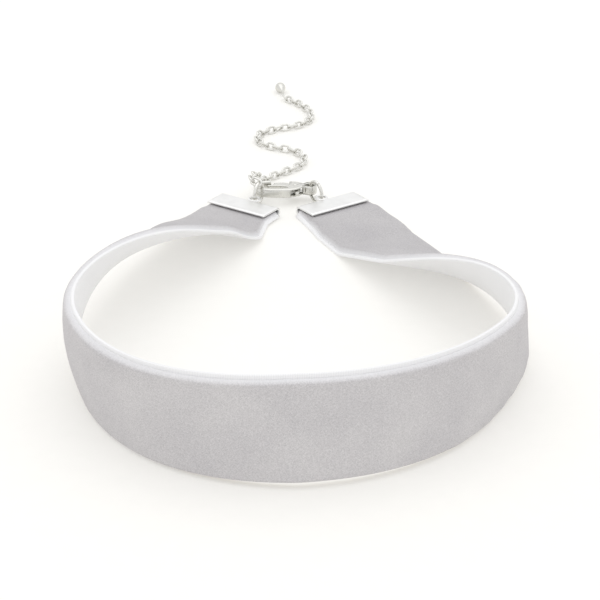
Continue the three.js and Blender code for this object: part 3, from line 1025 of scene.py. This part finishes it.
def extender_chain():
    line = Line(route_points())
    verts, faces = [], []
    count = int((line.length - LAST_GAP) / PITCH)
    for i in range(count):
        distance = FIRST_LINK + PITCH * i
        along = (line.at(distance + 1) - line.at(max(0, distance - 1))).normalized()
        level = along.cross(UP).normalized()
        roll = (LINK_ROLL if i % 2 else -LINK_ROLL) + chance.uniform(-ROLL_CHANCE, ROLL_CHANCE)
        across = Quaternion(along, math.radians(roll)) @ level
        points = link_points(line.at(distance), along, across, LINK_LENGTH, LINK_WIDTH, LINK_WIRE)
        more, rows = tube(points, LINK_WIRE, 10, closed=True)
        start = len(verts)
        verts += more
        faces += [tuple(start + k for k in face) for face in rows]
    obj = new_object("extender_links", [in_frame(v) for v in verts], faces, [WIRE])
    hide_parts("extender_chain")
    return line


chain_line = extender_chain()

# ---- the drop on the last link ----

DROP_LENGTH, DROP_RADIUS, DROP_HEADING, DROP_AHEAD = 6.0, 1.35, 100.0, 0.9
DROP_EYE_RADIUS, DROP_EYE_WIRE, DROP_EYE_BELOW = 0.5, 0.2, 0.3


def end_drop():
    profile = [(0, 0)]
    for i in range(1, 24):
        part = i / 24
        profile.append((DROP_RADIUS * math.sin(math.pi * part**1.5) + 0.18 * (1 - part), DROP_LENGTH * part))
    profile.append((0, DROP_LENGTH))
    verts, faces = lathe(profile, 32)
    drop = mesh_of("drop", verts, faces)
    eye_ring = []
    for k in range(28):
        a = 2 * math.pi * k / 28
        y, z = DROP_EYE_RADIUS * math.sin(a), -DROP_EYE_BELOW - DROP_EYE_RADIUS * math.cos(a)
        eye_ring.append(Vector((0, y, z)))
    verts, faces = tube(eye_ring, DROP_EYE_WIRE, 10, closed=True)
    drop = combined(drop, mesh_of("drop_eye", verts, faces), "UNION")
    heading = math.radians(DROP_HEADING)
    ahead = Vector((math.cos(heading), math.sin(heading), 0))
    place = chain_line.points[-1] + ahead * DROP_AHEAD
    place.z = DROP_RADIUS
    lay = Matrix.Translation(place) @ ahead.to_track_quat("Z", "Y").to_matrix().to_4x4()
    drop.transform(lay)
    placed_mm(drop, (0, 0, 0), 0)
    obj = finished("chain_teardrop", drop, [CAST])
    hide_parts("chain_end_drop")


end_drop()

# ---- the studio ----


FLOOR_HALF = 3.0
PAPER, PAPER_DARK, PAPER_LIGHT = (0.63, 0.625, 0.605), (0.625, 0.62, 0.60), (0.635, 0.63, 0.61)
PAPER_GLOW, GLOW_STRENGTH = (1.0, 0.985, 0.955), 0.33
SOFTBOX_PLACE, SOFTBOX_AIM, SOFTBOX_SIZE, SOFTBOX_WATTS = (0.0, 0.15, 0.9), (0, -0.03, 0), 1.1, 2.0
LENS, CAMERA_PLACE, CAMERA_TILT = 101.1, (0.00028, -0.34715, 0.15248), 64.25


def floor():
    h = FLOOR_HALF
    verts = [(-h, -h, 0), (h, -h, 0), (h, h, 0), (-h, h, 0)]
    made, nodes, links, shader = material("paper_floor", PAPER, 0.9, Specular_IOR_Level=0.1)
    shader.inputs["Emission Color"].default_value = (*PAPER_GLOW, 1)
    shader.inputs["Emission Strength"].default_value = GLOW_STRENGTH
    place = nodes.new("ShaderNodeTexCoord")
    grain = noise_of(nodes, links, place.outputs["Object"], 260)
    tone = colour_between(nodes, links, grain, PAPER_DARK, PAPER_LIGHT)
    links.new(tone, shader.inputs["Base Color"])
    obj = new_object("paper_floor", verts, [(0, 1, 2, 3)], [made], body=None, smooth_faces=False)


def softbox():
    light = bpy.data.lights.new("overhead", "AREA")
    light.shape = "RECTANGLE"
    light.size = light.size_y = SOFTBOX_SIZE
    light.energy = SOFTBOX_WATTS
    obj = bpy.data.objects.new("overhead", light)
    bpy.context.scene.collection.objects.link(obj)
    obj.location = SOFTBOX_PLACE
    aim = Vector(SOFTBOX_AIM) - Vector(SOFTBOX_PLACE)
    obj.rotation_euler = aim.to_track_quat("-Z", "Y").to_euler()


def studio():
    world = bpy.data.worlds.new("tent")
    bpy.context.scene.world = world
    world.use_nodes = True
    background = world.node_tree.nodes["Background"]
    background.inputs["Color"].default_value = (1.0, 1.0, 1.0, 1)
    background.inputs["Strength"].default_value = 1.0
    softbox()
    bpy.context.scene.view_settings.view_transform = "Standard"


def camera():
    data = bpy.data.cameras.new("camera")
    data.lens = LENS
    data.sensor_width = 36.0
    data.clip_start = 0.01
    obj = bpy.data.objects.new("camera", data)
    bpy.context.scene.collection.objects.link(obj)
    obj.location = CAMERA_PLACE
    obj.rotation_euler = (math.radians(CAMERA_TILT), 0, 0)
    bpy.context.scene.camera = obj


floor()
studio()
camera()
